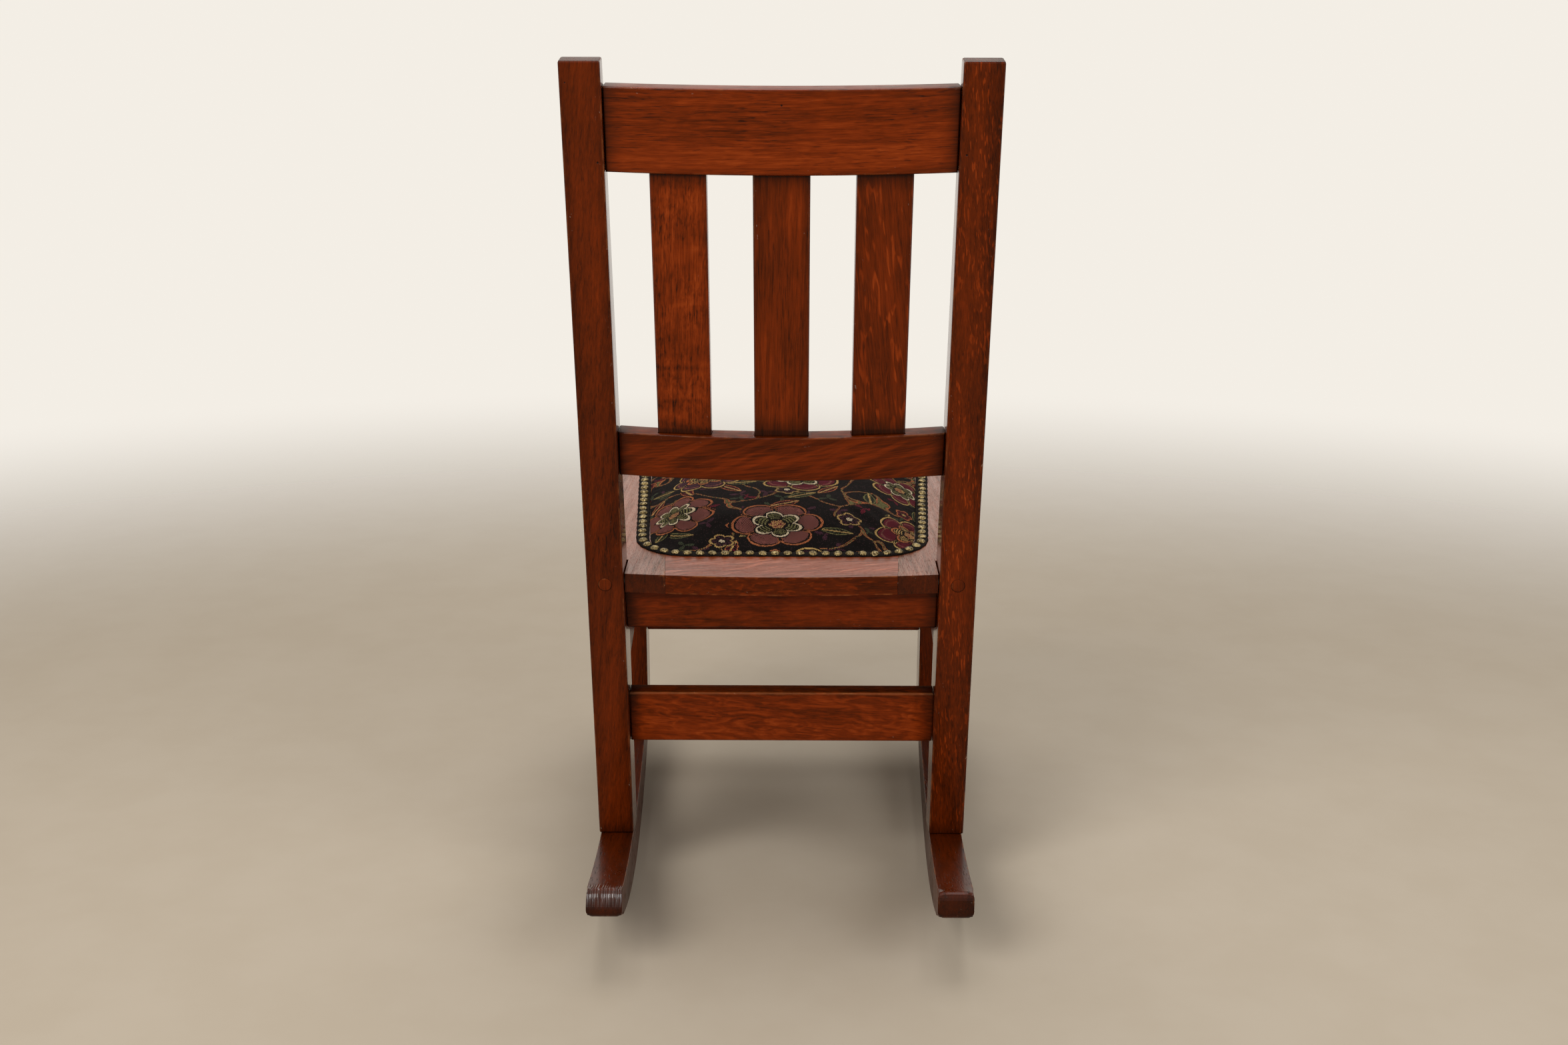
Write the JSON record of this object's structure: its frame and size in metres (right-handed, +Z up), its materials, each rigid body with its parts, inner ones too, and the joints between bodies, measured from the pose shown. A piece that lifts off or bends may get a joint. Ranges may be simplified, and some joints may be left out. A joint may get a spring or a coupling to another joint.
{
  "type": "rocking chair",
  "caption": "Armless sewing rocker in dark stained oak with sawn posts, bowed back rails and slats, a plank seat frame with a floral padded panel, and curved rockers.",
  "frame": {"origin": "on the floor, midway between the rockers and midway between their front and rear tips", "axes": "+Z up, +Y the way the sitter faces, +X to the sitter's right"},
  "size_m": [0.4278, 0.65, 0.8132],
  "materials": {
    "stained_oak": "dark reddish-brown stain under a glossy clear coat, worn at the edges",
    "plug_oak": "end grain, darker stain under the same coat",
    "pale_hardwood": "bare, sawn",
    "screw_steel": "plain, dulled",
    "floral_cloth": "woven tapestry with a floral design on black",
    "dark_gimp": "woven trim with a corded edge"
  },
  "bodies": {
    "root": {"back_slat_left": "stained_oak", "back_slat_middle": "stained_oak", "back_slat_right": "stained_oak", "crest_rail": "stained_oak", "front_apron": "stained_oak", "front_leg_left": "stained_oak", "front_leg_right": "stained_oak", "front_stretcher": "stained_oak", "gimp_band": "dark_gimp", "glue_block_front_left": "pale_hardwood", "glue_block_front_right": "pale_hardwood", "glue_block_rear_left": "pale_hardwood", "glue_block_rear_right": "pale_hardwood", "glue_block_side_left": "pale_hardwood", "glue_block_side_right": "pale_hardwood", "lower_back_rail": "stained_oak", "post_plug_left": "plug_oak", "post_plug_right": "plug_oak", "rear_apron": "stained_oak", "rear_post_left": "stained_oak", "rear_post_right": "stained_oak", "rear_stretcher": "stained_oak", "rocker_dowel_front_left": "pale_hardwood", "rocker_dowel_front_right": "pale_hardwood", "rocker_dowel_rear_left": "pale_hardwood", "rocker_dowel_rear_right": "pale_hardwood", "rocker_left": "stained_oak", "rocker_right": "stained_oak", "seat_base": "pale_hardwood", "seat_dowel_front_left_1": "pale_hardwood", "seat_dowel_front_left_2": "pale_hardwood", "seat_dowel_front_right_1": "pale_hardwood", "seat_dowel_front_right_2": "pale_hardwood", "seat_dowel_rear_left_1": "pale_hardwood", "seat_dowel_rear_left_2": "pale_hardwood", "seat_dowel_rear_right_1": "pale_hardwood", "seat_dowel_rear_right_2": "pale_hardwood", "seat_front_board": "stained_oak", "seat_pad": "floral_cloth", "seat_rear_board": "stained_oak", "seat_screw_left": "screw_steel", "seat_screw_right": "screw_steel", "seat_side_board_left": "stained_oak", "seat_side_board_right": "stained_oak", "side_apron_left": "stained_oak", "side_apron_right": "stained_oak", "side_stretcher_left": "stained_oak", "side_stretcher_right": "stained_oak"}
  },
  "joints": []
}
